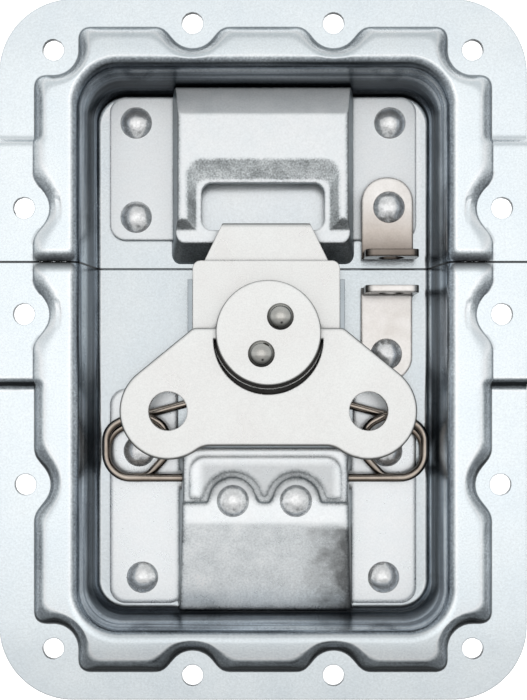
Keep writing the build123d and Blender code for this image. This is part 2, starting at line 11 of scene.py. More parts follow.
import bmesh
import bpy
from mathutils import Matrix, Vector


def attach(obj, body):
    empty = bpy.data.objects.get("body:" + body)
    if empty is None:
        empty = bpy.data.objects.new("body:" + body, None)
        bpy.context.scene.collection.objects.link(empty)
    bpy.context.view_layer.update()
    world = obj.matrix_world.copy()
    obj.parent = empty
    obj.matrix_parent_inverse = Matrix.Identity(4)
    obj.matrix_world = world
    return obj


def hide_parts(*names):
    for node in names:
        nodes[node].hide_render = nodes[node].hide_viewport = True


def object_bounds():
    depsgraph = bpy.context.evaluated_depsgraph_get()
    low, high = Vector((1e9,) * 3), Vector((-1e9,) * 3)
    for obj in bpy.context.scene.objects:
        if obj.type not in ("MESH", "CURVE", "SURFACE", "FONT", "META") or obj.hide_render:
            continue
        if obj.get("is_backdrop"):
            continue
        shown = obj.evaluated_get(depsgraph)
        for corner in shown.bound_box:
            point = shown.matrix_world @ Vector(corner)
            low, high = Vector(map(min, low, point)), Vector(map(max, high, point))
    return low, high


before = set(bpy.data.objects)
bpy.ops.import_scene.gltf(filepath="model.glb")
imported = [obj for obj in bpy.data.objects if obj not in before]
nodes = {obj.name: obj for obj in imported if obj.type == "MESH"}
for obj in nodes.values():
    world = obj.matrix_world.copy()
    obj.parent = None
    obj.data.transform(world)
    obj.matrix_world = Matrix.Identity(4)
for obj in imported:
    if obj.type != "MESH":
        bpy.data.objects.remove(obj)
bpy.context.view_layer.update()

# %% [markdown]
# ## Units and colours
# Blender works in metres and in linear light. Sizes on a latch are read in millimetres and
# colours are picked as sRGB hex values, so two small functions turn one into the other.

# %% Millimetres and sRGB colours
MM = 0.001


def linear(hex_colour):
    """An sRGB hex colour as the linear RGBA that shaders use."""
    channels = [int(hex_colour[i:i + 2], 16) / 255 for i in (1, 3, 5)]
    curve = [c / 12.92 if c <= 0.04045 else ((c + 0.055) / 1.055) ** 2.4 for c in channels]
    return (*curve, 1.0)


def mm(*sizes):
    """Millimetres as metres."""
    return tuple(size * MM for size in sizes)


def per_mm(size):
    """Noise scale, in object space, for a pattern whose grain is size millimetres."""
    return 1 / (size * MM)


print("one grain of 5 mm is scale", per_mm(5))

# %% [markdown]
# ## One way to add a node
# Every material below is a small node tree. It could be drawn by hand in the editor, but in
# code it can be read, and used again with other numbers. One function adds a node of any
# kind. A node that is given as an input stands for its own first output.

# %% Node helper
def add_node(tree, kind, inputs=(), stops=(), **settings):
    """Add a node with its settings and inputs, which are in order or a dict by name or number."""
    node = tree.nodes.new("ShaderNode" + kind)
    for name, value in settings.items():
        setattr(node, name, value)
    for name, value in inputs.items() if isinstance(inputs, dict) else enumerate(inputs):
        value = value.outputs[0] if isinstance(value, bpy.types.Node) else value
        if isinstance(value, bpy.types.NodeSocket):
            tree.links.new(value, node.inputs[name])
        else:
            node.inputs[name].default_value = value
    for number, (position, hex_colour) in enumerate(stops):
        elements = node.color_ramp.elements
        element = elements[number] if number < len(elements) else elements.new(1.0)
        element.position, element.color = position, linear(hex_colour)
    return node


def new_material(name):
    """An empty node material and its tree."""
    material = bpy.data.materials.new(name)
    material.use_nodes = True
    material.node_tree.nodes.clear()
    return material, material.node_tree


print("add_node and new_material are ready")

# %% [markdown]
# ## Shade by slope
# Steep faces get a painted shade, darker the steeper they are, for the dark surroundings that they mirror.
# Where a face is steep the press has stretched the steel, and the plating there is speckled like fine
# sugar. Faces that tip towards the far end get a lighter painted shade, because the light comes from
# there, and faces that tip towards the front a darker one.

# %% Shade and sugar by slope
far_lift = 0.24
sugar_free, sugar_full = 0.96, 0.86
noise_range = (0.3, 0.7)  # Nearly all of a noise lies between these


def slope_shade(tree, normal, stops, front_dark):
    """How level a face is, and the painted shade for it. Steep is 0 and level is 1."""
    # In the piece's own space, so that its shades stay put when it moves
    own = add_node(
        tree, "VectorTransform", (normal,), vector_type="NORMAL", convert_from="WORLD", convert_to="OBJECT"
    )
    parts = add_node(tree, "SeparateXYZ", (own,)).outputs
    # Both faces of a sheet count as level
    flatness = add_node(tree, "Math", (parts["Z"],), operation="ABSOLUTE")
    level = add_node(tree, "Math", (parts["Y"], far_lift, flatness), operation="MULTIPLY_ADD")
    to_front = add_node(tree, "Math", (parts["Y"], 0.0), operation="MINIMUM")
    level = add_node(tree, "Math", (to_front, front_dark, level), operation="MULTIPLY_ADD")
    return level, add_node(tree, "ValToRGB", (level,), stops)


def sugar(tree, level, drift, strength):
    """Bright and dark grains on bent faces, and none on level ones."""
    bent = add_node(tree, "MapRange", (level, sugar_free, sugar_full))
    grains = add_node(tree, "MapRange", (drift, *noise_range, 1 - strength, 1 + strength))
    return add_node(tree, "Mix", {0: bent, 2: 1.0, 3: grains}, data_type="FLOAT")


print("sugar grows from level", sugar_free, "and is full at", sugar_full)

# %% [markdown]
# ## Plated steel
# All the metals share one build. Their colour drifts a little over centimetres, because plating is never
# even. Their roughness drifts too, which breaks a reflection the way the eye expects. A fine bump stands
# for the sheet's grain. Sharp bends are rounded in the shading, because a press never leaves a knife edge.
# The colour carries a painted shade by slope, and painted shade darkens the cracks between stacked pieces.
# A share of the surface is dull: it scatters light and mirrors none.

# %% Plated metal
crevice_stops = ((0.12, "#161617"), (0.38, "#7E8082"), (0.72, "#FFFFFF"))
speckle_low, speckle_high = 0.93, 1.03
gloss_drift = 0.15


def crevice_shade(tree, normal, reach_mm):
    """Painted shade: white in the open, and dark in the cracks between stacked pieces."""
    inputs = {"Distance": reach_mm * MM, "Normal": normal}
    open_sky = add_node(tree, "AmbientOcclusion", inputs, samples=8).outputs["AO"]
    return add_node(tree, "ValToRGB", (open_sky,), crevice_stops)


def plated_metal(
    name, light, dark, slopes, roughness, drift_mm, grain_mm, grain_depth_mm, edge_mm, crevice_mm=2.5,
    sugar_strength=0.0, dull_share=0.0, front_dark=0.0, own_shade=None,
):
    """A plated steel finish, light to dark, with painted shade by slopes and by own_shade, a function of
    place.
    """
    material, tree = new_material(name)
    place = add_node(tree, "TexCoord").outputs["Object"]
    drift_inputs = {"Vector": place, "Scale": per_mm(drift_mm), "Detail": 4.0, "Roughness": 0.6}
    drift = add_node(tree, "TexNoise", drift_inputs)
    # Real plating has a grain too fine to show, so it is drawn coarser here
    grain = add_node(tree, "TexNoise", {"Vector": place, "Scale": per_mm(grain_mm), "Detail": 2.0})
    edge = add_node(tree, "Bevel", {"Radius": edge_mm * MM}, samples=6)
    level, shade = slope_shade(tree, edge, slopes, front_dark)
    if own_shade:
        shade = own_shade(tree, place, edge, shade)
    colour = add_node(tree, "ValToRGB", (drift,), ((noise_range[0], dark), (noise_range[1], light)))
    speckle = add_node(tree, "MapRange", (grain, *noise_range, speckle_low, speckle_high))
    factors = [shade, speckle, crevice_shade(tree, edge, crevice_mm)]
    if sugar_strength:
        mottle = add_node(tree, "Mix", {0: 0.5, 2: grain, 3: drift}, data_type="FLOAT")
        factors.append(sugar(tree, level, mottle, sugar_strength))
    for factor in factors:
        colour = add_node(tree, "VectorMath", (colour, factor), operation="MULTIPLY")
    bump_inputs = {"Height": grain, "Normal": edge, "Strength": 1.0, "Distance": grain_depth_mm * MM}
    bump = add_node(tree, "Bump", bump_inputs)
    glossy, matt = roughness * (1 - gloss_drift), roughness * (1 + gloss_drift)
    gloss = add_node(tree, "MapRange", (drift, *noise_range, glossy, matt))
    shader = add_node(tree, "BsdfPrincipled", {
        "Base Color": colour, "Roughness": gloss, "Normal": bump, "Metallic": 1.0 - dull_share,
    })
    add_node(tree, "OutputMaterial", {"Surface": shader})
    return material


print("roughness drifts by", round(gloss_drift * 100), "percent either way")

# %% [markdown]
# ## The dish's own shade
# The deep wall gets a painted reflection of the side opposite it, in bands that run round the recess:
# bright at the foot, dark over the middle, and pale below the mouth, streaked along its length. Painted
# shade darkens the valley where the seam cuts the raised ring, the recess's floor and the ends, and a dark
# line runs along the seam. The outside is plain zinc.

# %% Shade of the dish
seam_y, floor_z, crest_z = 21.0, -12.8, 4.0
# The wall's painted reflection, in bands by height from the floor (0) to the crest (1), and its streaks
wall_stops = (
    (0.13, "#F8FBFF"), (0.22, "#666E76"), (0.48, "#646C73"), (0.60, "#C6CCD1"), (0.9, "#CFD4D8"),
)
streak_stops = ((0.40, "#8B929A"), (0.5, "#D9DFE6"), (0.6, "#FFFFFF"))
wall_heights = ((0.02, "#000000"), (0.06, "#FFFFFF"), (0.90, "#FFFFFF"), (0.985, "#000000"))
streak_grain, streak_squash = 2.2, 0.03
mouth_core, mouth_soft = (35.8, 59.2), 24.4
mouth_edge, floor_heights = (0.48, 0.505), (0.02, 0.05)
# How far in the far wall's painted reflection darkens and by how much, and the painted shade on the
# recess's floor
far_wall_run, far_wall_dim, floor_dim = (61, 67), 0.42, 0.80
# Distances from the seam over which the painted shade in its valley and its dark line go from dark to
# plain
valley_shade_run, line_shade_run, seam_dark = (0.3, 2.6), (0.18, 0.36), 0.10
ring_foot_run = (2.85, 3.3)
# The painted shade at the ends starts here along the dish, and the ring's loss takes over from the
# flange's here in Z
end_run, ring_run, flange_loss, ring_loss, far_part = (66, 73), (1.6, 3.2), 0.08, 0.30, 0.5
# The outside: a face counts from this much outward, and from this far below the flange's top
outward_run, flange_run, outside_zinc = (0, 4), (0.6, 1.0), "#D9DFE3"


def patch(tree, place, centre, half, soft):
    """1 in a rectangle and 0 outside it, with soft round corners. All in millimetres."""
    to_centre = (*mm(-centre[0], -centre[1]), 0.0)
    moved = add_node(tree, "VectorMath", (place, (1.0, 1.0, 0.0), to_centre), operation="MULTIPLY_ADD")
    folded = add_node(tree, "VectorMath", (moved,), operation="ABSOLUTE")
    beyond = add_node(tree, "VectorMath", (folded, (*mm(*half), 0.0)), operation="SUBTRACT")
    beyond = add_node(tree, "VectorMath", (beyond, (0.0, 0.0, 0.0)), operation="MAXIMUM")
    away = add_node(tree, "VectorMath", (beyond,), operation="LENGTH").outputs["Value"]
    return add_node(tree, "MapRange", (away, *mm(0, soft), 1.0, 0.0))


def painted_wall_bands(tree, place, height, along):
    """The wall's painted reflection in bands, streaked along its length, and darker at the far end."""
    colour = add_node(tree, "ValToRGB", (height,), wall_stops)
    squash = (streak_squash, streak_squash, 1.0)
    squashed = add_node(tree, "VectorMath", (place, squash), operation="MULTIPLY")
    noise_inputs = {"Vector": squashed, "Scale": per_mm(streak_grain), "Detail": 3.0, "Roughness": 0.6}
    streaks = add_node(tree, "ValToRGB", (add_node(tree, "TexNoise", noise_inputs),), streak_stops)
    # The wall at the far end faces away from the light
    far_wall = add_node(tree, "MapRange", (along, *mm(*far_wall_run), 1.0, far_wall_dim))
    for factor in (streaks, far_wall):
        colour = add_node(tree, "VectorMath", (colour, factor), operation="MULTIPLY")
    return colour


def on_wall(tree, place, height):
    """1 on the wall inside the ring, and 0 on the floor, the ring and the flange."""
    # The recess's mouth is a rectangle with 12 mm corners, half way out on the soft patch
    mouth = patch(tree, place, (0, 0), mouth_core, mouth_soft)
    inside = add_node(tree, "MapRange", (mouth, *mouth_edge))
    steep = add_node(tree, "ValToRGB", (height,), wall_heights)
    return add_node(tree, "VectorMath", (steep, inside), operation="MULTIPLY")


def seam_shade(tree, along, up):
    """Painted shade in the valley where the seam cuts the ring, and a dark line along the seam itself."""
    from_seam = add_node(tree, "Math", (along, -seam_y * MM), operation="ADD")
    from_seam = add_node(tree, "Math", (from_seam,), operation="ABSOLUTE")
    valley = add_node(tree, "MapRange", (from_seam, *mm(*valley_shade_run), seam_dark, 1.0))
    off_ring = add_node(tree, "MapRange", (up, *mm(*ring_foot_run), 1.0, 0.0))
    valley = add_node(tree, "Math", (valley, off_ring), operation="MAXIMUM")
    line = add_node(tree, "MapRange", (from_seam, *mm(*line_shade_run), seam_dark, 1.0))
    return add_node(tree, "Math", (valley, line), operation="MULTIPLY")


def end_shade(tree, along, up):
    """Painted shade at the ends: the ring more than the flange, and most at the near end."""
    near = add_node(tree, "MapRange", (along, *mm(-end_run[0], -end_run[1])))
    far = add_node(tree, "MapRange", (along, *mm(*end_run), 0.0, far_part))
    both = add_node(tree, "Math", (near, far), operation="ADD")
    raised = add_node(tree, "MapRange", (up, *mm(*ring_run), flange_loss, ring_loss))
    loss = add_node(tree, "Math", (both, raised), operation="MULTIPLY")
    return add_node(tree, "Math", (1.0, loss), operation="SUBTRACT")


def outside_share(tree, place, normal, up):
    """1 on the outside of the recess, below the flange."""
    flat_place = add_node(tree, "VectorMath", (place, (1.0, 1.0, 0.0)), operation="MULTIPLY")
    outward = add_node(tree, "VectorMath", (flat_place, normal), operation="DOT_PRODUCT").outputs["Value"]
    facing_out = add_node(tree, "MapRange", (outward, *mm(*outward_run)))
    below = add_node(tree, "MapRange", (up, *mm(*flange_run), 1.0, 0.0))
    return add_node(tree, "Math", (facing_out, below), operation="MULTIPLY")


def dish_shade(tree, place, normal, shade):
    """The dish's painted shade by slope, with the wall's painted reflection, painted shade at the seam,
    floor and ends, and plain zinc outside on top.
    """
    parts = add_node(tree, "SeparateXYZ", (place,)).outputs
    along, up = parts["Y"], parts["Z"]
    height = add_node(tree, "MapRange", (up, *mm(floor_z, crest_z)))
    wall_share, wall = on_wall(tree, place, height), painted_wall_bands(tree, place, height, along)
    colour = add_node(tree, "Mix", {0: wall_share, 6: shade, 7: wall}, data_type="RGBA").outputs[2]
    # Painted shade on the recess's floor
    floor_shade = add_node(tree, "MapRange", (height, *floor_heights, floor_dim, 1.0))
    for factor in (seam_shade(tree, along, up), floor_shade, end_shade(tree, along, up)):
        colour = add_node(tree, "VectorMath", (colour, factor), operation="MULTIPLY")
    outside = outside_share(tree, place, normal, up)
    whole = add_node(tree, "Mix", {0: outside, 6: colour, 7: linear(outside_zinc)}, data_type="RGBA")
    return whole.outputs[2]


print("the recess is", round(crest_z - floor_z, 1), "mm deep, and the seam is at", seam_y, "mm")

# %% [markdown]
# ## Shades of the bracket and the eyelets
# Painted shade makes the bracket's crown a little greyer than its plates, and its tail gets a painted
# reflection of something dark on one side, in blotches. The upper eyelet gets a painted reflection,
# browner and darker towards its ear, which stands at the seam, and the lower one is left as it is.

# %% Shades of the bracket and the eyelets
crown_centre, crown_half, crown_soft, crown_dim = (1.3, -32.3), (15.5, 3.4), 2.0, 0.32
tail_blotch, blotch_reach, tail_dim = 5, 26, 0.8
# Where the tail's painted dark reflection, the tail itself and its right-hand plate begin
dark_side_run, tail_run, plate_run = (22, 34), (-43.6, -45.0), (22.6, 22.8)
ear_stops = ((0.0, "#8E857E"), (0.45, "#D9D2CC"), (1.0, "#FFFFFF"))
# Along the dish: the upper eyelet from its ear to its rivet, and the end of the lower eyelet
ear_run, lower_run = (24, 38), (20, 21)


def bracket_shade(tree, place, normal, shade):
    """The bracket's painted shade: its crown greyer, and a painted reflection on its tail, dark and
    blotchy on one side.
    """
    parts = add_node(tree, "SeparateXYZ", (place,)).outputs
    noise_inputs = {"Vector": place, "Scale": per_mm(tail_blotch), "Detail": 5.0, "Roughness": 0.65}
    blotches = add_node(tree, "TexNoise", noise_inputs)
    across = add_node(tree, "Math", (blotches, blotch_reach * MM, parts["X"]), operation="MULTIPLY_ADD")
    dark = add_node(tree, "MapRange", (across, *mm(*dark_side_run), 0.0, tail_dim))
    on_tail = add_node(tree, "MapRange", (parts["Y"], *mm(*tail_run)))
    off_plates = add_node(tree, "MapRange", (parts["X"], *mm(*plate_run), 1.0, 0.0))
    dark = add_node(tree, "Math", (dark, on_tail), operation="MULTIPLY")
    dark = add_node(tree, "Math", (dark, off_plates), operation="MULTIPLY")
    tail = add_node(tree, "Math", (1.0, dark), operation="SUBTRACT")
    crown = patch(tree, place, crown_centre, crown_half, crown_soft)
    crown = add_node(tree, "Math", (crown, -crown_dim, 1.0), operation="MULTIPLY_ADD")
    for factor in (tail, crown):
        shade = add_node(tree, "VectorMath", (shade, factor), operation="MULTIPLY")
    return shade


def eyelet_shade(tree, place, normal, shade):
    """The eyelets' painted reflection, browner and darker towards the ear on the upper one."""
    along = add_node(tree, "SeparateXYZ", (place,)).outputs["Y"]
    near_ear = add_node(tree, "MapRange", (along, *mm(*ear_run)))
    ear_reflection = add_node(tree, "ValToRGB", (near_ear,), ear_stops)
    lower = add_node(tree, "MapRange", (along, *mm(*lower_run), 1.0, 0.0))
    inputs = {0: lower, 6: ear_reflection, 7: linear("#FFFFFF")}
    painted_reflection = add_node(tree, "Mix", inputs, data_type="RGBA").outputs[2]
    return add_node(tree, "VectorMath", (shade, painted_reflection), operation="MULTIPLY")


print("blotches of", tail_blotch, "mm on the tail, from", dark_side_run[0], "mm across")

# %% [markdown]
# ## The finishes
# Each finish is named for the real one. Its slopes are its painted shade, and on the dish a painted
# highlight too, from a wall (0) to a level face (1).

# %% Finishes
# The dish's slopes paint a bright highlight where a face has just begun to tip, and shade below it
dish_slopes = (
    (0.0, "#121314"), (0.25, "#15171A"), (0.45, "#26292B"), (0.58, "#7C8184"), (0.74, "#90959A"),
    (0.86, "#A0A5A8"), (0.93, "#DCE0E2"), (0.97, "#FFFFFF"), (1.0, "#F0F5F7"),
)
press_slopes = (
    (0.0, "#9AA5AC"), (0.2, "#8F999F"), (0.4, "#6A6D6E"), (0.58, "#A6A8A8"), (0.70, "#D0D2D2"),
    (0.82, "#F4F5F5"), (0.92, "#F6F7F7"), (0.97, "#FAFBFB"), (1.0, "#FFFFFF"),
)
nickel_slopes = (
    (0.0, "#777674"), (0.5, "#6E6D6B"), (0.8, "#A5A4A2"), (0.95, "#FFFFFF"), (1.0, "#FFFFFF"),
)
dome_slopes = (
    (0.0, "#6A6B6C"), (0.2, "#9A9B9C"), (0.38, "#E4E5E5"), (0.52, "#FFFFFF"), (1.0, "#FFFFFF"),
)
ball_slopes = (
    (0.0, "#161616"), (0.35, "#3C3B3A"), (0.62, "#7F7E7B"), (0.80, "#DEDDDA"), (1.0, "#F1F0ED"),
)
wire_slopes = (
    (0.0, "#3B3733"), (0.4, "#6A645E"), (0.8, "#C4BDB6"), (0.95, "#FFFFFF"), (1.0, "#FFFFFF"),
)

# Zinc on the dish: satin, a touch blue, with sugar grain where the press stretched it
dish_zinc = plated_metal(
    "dish_zinc_plate", "#FBFDFE", "#F0F4F7", dish_slopes, roughness=0.24, drift_mm=14, grain_mm=0.45,
    grain_depth_mm=0.012, edge_mm=0.3, crevice_mm=0.7, sugar_strength=0.5, dull_share=0.12,
    front_dark=0.35, own_shade=dish_shade,
)
# Zinc on the keeper: painted shade leaves the flats brighter and the pressed slopes darker, and the slopes
# are grainy
bright_zinc = plated_metal(
    "bright_zinc_plate", "#FBFDFE", "#F0F4F6", press_slopes, roughness=0.40, drift_mm=5, grain_mm=0.45,
    grain_depth_mm=0.014, edge_mm=0.8, sugar_strength=0.6, dull_share=0.5,
)
# Zinc on the bracket: glossier and softer at its bends, so that its crown looks drawn, not cut
soft_zinc = plated_metal(
    "pressed_zinc_plate", "#FBFDFE", "#F0F4F6", press_slopes, roughness=0.30, drift_mm=5, grain_mm=0.45,
    grain_depth_mm=0.014, edge_mm=1.6, sugar_strength=0.7, dull_share=0.35, own_shade=bracket_shade,
)
# Satin nickel on what the hand turns: even, neutral and softly matt
satin_nickel = plated_metal(
    "satin_nickel_plate", "#EFF0EE", "#E5E4E2", nickel_slopes, roughness=0.30, drift_mm=16,
    grain_mm=0.35, grain_depth_mm=0.008, edge_mm=0.45, dull_share=0.35,
)
# Warm nickel on the eyelets: a faint brown cast
warm_nickel = plated_metal(
    "warm_nickel_plate", "#F5F2EF", "#DFDAD5", nickel_slopes, roughness=0.22, drift_mm=7, grain_mm=0.45,
    grain_depth_mm=0.012, edge_mm=0.9, sugar_strength=0.3, dull_share=0.3, own_shade=eyelet_shade,
)
# Rivet heads: bright and mottled, with painted shade on their rims
rivet_steel = plated_metal(
    "bright_rivet_steel", "#FFFFFF", "#DCDDDD", dome_slopes, roughness=0.24, drift_mm=1.6,
    grain_mm=0.60, grain_depth_mm=0.012, edge_mm=0.2, crevice_mm=0.5, sugar_strength=0.25,
    dull_share=0.25,
)
# Rivets of the disc: polished and darker, so that they read as little mirrors
ball_steel = plated_metal(
    "polished_ball_steel", "#DCDBD8", "#C9C8C5", ball_slopes, roughness=0.08, drift_mm=3,
    grain_mm=0.40, grain_depth_mm=0.003, edge_mm=0.1, crevice_mm=0.6,
)
# Spring wire: brownish and glossy
spring_steel = plated_metal(
    "stainless_spring_wire", "#C4B9AE", "#A1958A", wire_slopes, roughness=0.18, drift_mm=5,
    grain_mm=0.25, grain_depth_mm=0.003, edge_mm=0.1,
)
# Steel inside the mechanism: plain zinc, a little greyer than the outer sheets
inner_steel = plated_metal(
    "zinc_plated_inner_steel", "#AEB6BB", "#9BA3A8", nickel_slopes, roughness=0.28, drift_mm=8,
    grain_mm=0.35, grain_depth_mm=0.006, edge_mm=0.3,
)
# Hub: painted dark for the shadow in the gap below the disc, so that the gap looks deep
hub_shadow_steel = plated_metal(
    "hub_steel_painted_dark", "#3C3B39", "#2C2B2A", nickel_slopes, roughness=0.30, drift_mm=6,
    grain_mm=0.35, grain_depth_mm=0.006, edge_mm=0.3,
)
finishes = (
    dish_zinc, bright_zinc, soft_zinc, satin_nickel, warm_nickel, rivet_steel, ball_steel, spring_steel,
    inner_steel, hub_shadow_steel,
)
print([finish.name for finish in finishes])

# %% [markdown]
# ## Which piece has which finish
# The pressed sheets are zinc plated, the parts that the hand turns are satin nickel, the
# eyelets are a warmer nickel, and the rivets are bright.

# %% Finish every piece
finish_of = {
    "upper_dish": dish_zinc,
    "lower_dish": dish_zinc,
    "keeper_plate": bright_zinc,
    "bracket": soft_zinc,
    "wing": satin_nickel,
    "rotor_disc": satin_nickel,
    "hub_washer": hub_shadow_steel,
    "cover_plate": satin_nickel,
    "hook_plate": satin_nickel,
    "upper_eyelet": warm_nickel,
    "lower_eyelet": warm_nickel,
    "disc_rivet_upper": ball_steel,
    "disc_rivet_lower": ball_steel,
    "wire_spring": spring_steel,
    "guide_channel": inner_steel,
    "cam_hub": hub_shadow_steel,
    "spring_strap": inner_steel,
}
for name, piece in nodes.items():
    material = finish_of.get(name, rivet_steel)
    piece.data.materials.clear()
    piece.data.materials.append(material)
    print(name, "->", material.name)

# %% [markdown]
# ## The pressed dish
# A press draws the dish from one sheet, so no bend in it is sharp: the ring round the recess
# rises in a soft curve from its scalloped foot, and rolls over into the wall. It could be
# sculpted, or bevelled from boxes, but a mesh worked out from its outlines keeps every bend
# even. Stations run round the recess, and at each of them a row of points climbs from the
# floor over the wall and the ring, and out to the flange's edge.

# %% Dimensions of the dish, in millimetres
sheet = 1.2
# Half sizes and corner radii of the flange, the recess's floor and the raised ring
flange_half, flange_corner = (63.97, 84.97), 18.0
floor_half, floor_corner = (42.2, 65.6), 7.5
ring_half, ring_corner = (55.5, 78.2), 10.0
# The recess: how far its wall leans, its foot's radius, and the arc of its mouth
wall_lean = math.radians(8.5)
floor_round, mouth_length, mouth_ease = 1.2, 4.0, 1.15
# The ring's sloping band, and the bites that the rivet holes take out of it
band_width = 3.3
scallop_radius, scallop_blend = 6.1, 3.2
# Raised strips of the flange beside the seam, and the valley where the seam cuts the ring
seam_gap = 0.04
strip_rise, strip_half_length, strip_run = 1.6, 28.2, 2.4
valley_run, valley_depth = 3.0, 0.8
# Rivet holes
hole_radius = 2.6
corner_hole = (50.85, 72.6)
edge_holes = [(x, y) for x in (-17.1, 17.1) for y in (-79.1, 79.1)]
edge_holes += [(x, y) for x in (-57.6, 57.6) for y in (34.0, 8.4, -32.8)]
hole_spots = edge_holes + [(x * corner_hole[0], y * corner_hole[1]) for x in (-1, 1) for y in (-1, 1)]
print(len(hole_spots), "rivet holes")

# %% [markdown]
# ## Stations round the recess
# Every outline of the dish is a rectangle with round corners. Each gets the same stations,
# so that a station on one outline faces the same station on the next.

# %% Stations on an outline
end_steps, side_steps, corner_steps = 150, 230, 56


def outline_stations(half, corner):
    """Points and outward normals round a rounded rectangle, anticlockwise."""
    reach_x, reach_y = half[0] - corner, half[1] - corner
    stations = []
    centres = ((reach_x, reach_y), (-reach_x, reach_y), (-reach_x, -reach_y), (reach_x, -reach_y))
    for turn, (centre_x, centre_y) in enumerate(centres):
        for step in range(corner_steps):
            angle = math.pi / 2 * (turn + step / corner_steps)
            normal = (math.cos(angle), math.sin(angle))
            stations.append((centre_x + corner * normal[0], centre_y + corner * normal[1], normal))
        angle = math.pi / 2 * (turn + 1)
        normal = (round(math.cos(angle)), round(math.sin(angle)))
        # After an even corner comes an end of the dish, and after an odd one a side
        length, steps = ((2 * reach_x, end_steps), (2 * reach_y, side_steps))[turn % 2]
        start = (centre_x + corner * normal[0], centre_y + corner * normal[1])
        for step in range(steps):
            along = length * step / steps
            stations.append((start[0] - normal[1] * along, start[1] + normal[0] * along, normal))
    return stations


print(len(outline_stations(floor_half, floor_corner)), "stations")

# %% [markdown]
# ## Height of the pressed sheet
# Inside the ring's outline the sheet climbs from the flange to the crest. The outline is a
# rounded rectangle with a bite round each rivet hole, and a smooth minimum of the distances
# to them rounds the corners of the bites.

# %% Height functions
# Shares of the climb: a small step makes the sharp foot, then comes a sloping band with a
# round shoulder, and the crest is a little crowned
foot_rise, foot_run = 0.12, 0.35
band_rise, band_power = 0.85, 1.6
crown_rise, crown_run = 0.03, 7


def clamp(value):
    """Keep a value between 0 and 1."""
    return min(max(value, 0.0), 1.0)


def smooth(value):
    """Ease in and out between 0 and 1."""
    value = clamp(value)
    return value * value * (3 - 2 * value)


def depth_in_ring(x, y):
    """How far a point lies inside the ring's scalloped outline."""
    over_x = abs(x) - ring_half[0] + ring_corner
    over_y = abs(y) - ring_half[1] + ring_corner
    outside = math.hypot(max(over_x, 0), max(over_y, 0)) + min(max(over_x, over_y), 0) - ring_corner
    bite = min(math.hypot(x - hole_x, y - hole_y) for hole_x, hole_y in edge_holes)
    # A corner hole's bite opens both ways to the ring's outside
    corner_bite = math.hypot(max(corner_hole[0] - abs(x), 0), max(corner_hole[1] - abs(y), 0))
    edge, bite = -outside, min(bite, corner_bite) - scallop_radius
    share = clamp(0.5 + 0.5 * (bite - edge) / scallop_blend)
    return bite + (edge - bite) * share - scallop_blend * share * (1 - share)


def sheet_height(x, y, pressed_z):
    """Height of the sheet's face where the ring and recess alone would put it at pressed_z."""
    flange_z = sheet
    if abs(x) > ring_half[0] - scallop_radius:
        past = abs(y - seam_y) - strip_half_length
        flange_z += strip_rise * smooth(1 - past / strip_run)
    if pressed_z <= flange_z:
        return pressed_z
    depth = depth_in_ring(x, y)
    if depth <= 0:
        return flange_z
    climb = foot_rise * clamp(depth / foot_run) + crown_rise * smooth(depth / crown_run)
    climb += band_rise * (1 - (1 - clamp(depth / band_width)) ** band_power)
    valley = valley_depth * (1 - clamp(abs(y - seam_y) / valley_run)) ** 2
    return flange_z + (pressed_z - valley - flange_z) * climb


print("from crest to flange:", [round(sheet_height(x, -12, crest_z), 2) for x in (50, 53, 54, 55, 60)])

# %% [markdown]
# ## From the floor to the flange's edge
# The first points of a row follow the recess: a small round at the floor, the leaning wall
# and the broad round of the mouth. The rest run straight out over the ring and the flange,
# closer together where the ring's foot lies.

# %% Rows of points
floor_round_steps, wall_shares, mouth_steps = 4, (0.33, 0.66), 16
crest_steps, band_steps, flange_steps = 5, 12, 14
# The band's rows start this many band widths inside the foot, but not in the crest's first part
band_reach, crest_part = 1.6, 0.3
halvings = 18


def recess_profile():
    """Offsets from the floor's outline and heights, from the floor up to the mouth's edge."""
    turn = math.pi / 2 - wall_lean
    half_tangent = math.tan(turn / 2)
    profile = []
    for step in range(floor_round_steps + 1):
        angle = turn * step / floor_round_steps
        offset = floor_round * (math.sin(angle) - half_tangent)
        profile.append((offset, floor_z + floor_round * (1 - math.cos(angle))))
    # The mouth's round starts gently at the crest and tightens towards the wall
    mouth = [(0.0, crest_z)]
    length = mouth_length / mouth_steps
    for step in range(mouth_steps):
        angle = turn * ((step + 0.5) / mouth_steps) ** mouth_ease
        offset, height = mouth[-1]
        mouth.append((offset - length * math.cos(angle), height - length * math.sin(angle)))
    wall_top = mouth[-1][1]
    shift = (wall_top - floor_z) * math.tan(wall_lean) - mouth[-1][0]
    offset, height = profile[-1]
    for share in wall_shares:
        profile.append((
            offset + (mouth[-1][0] + shift - offset) * share,
            height + (wall_top - height) * share,
        ))
    profile += [(mouth_offset + shift, mouth_height) for mouth_offset, mouth_height in reversed(mouth)]
    return profile


def foot_share(start, end):
    """How far along a line from the mouth to the flange's edge the ring's foot lies."""
    low, high = 0.0, 1.0
    for _ in range(halvings):
        middle = (low + high) / 2
        x = start[0] + (end[0] - start[0]) * middle
        y = start[1] + (end[1] - start[1]) * middle
        if depth_in_ring(x, y) > 0:
            low = middle
        else:
            high = middle
    return low


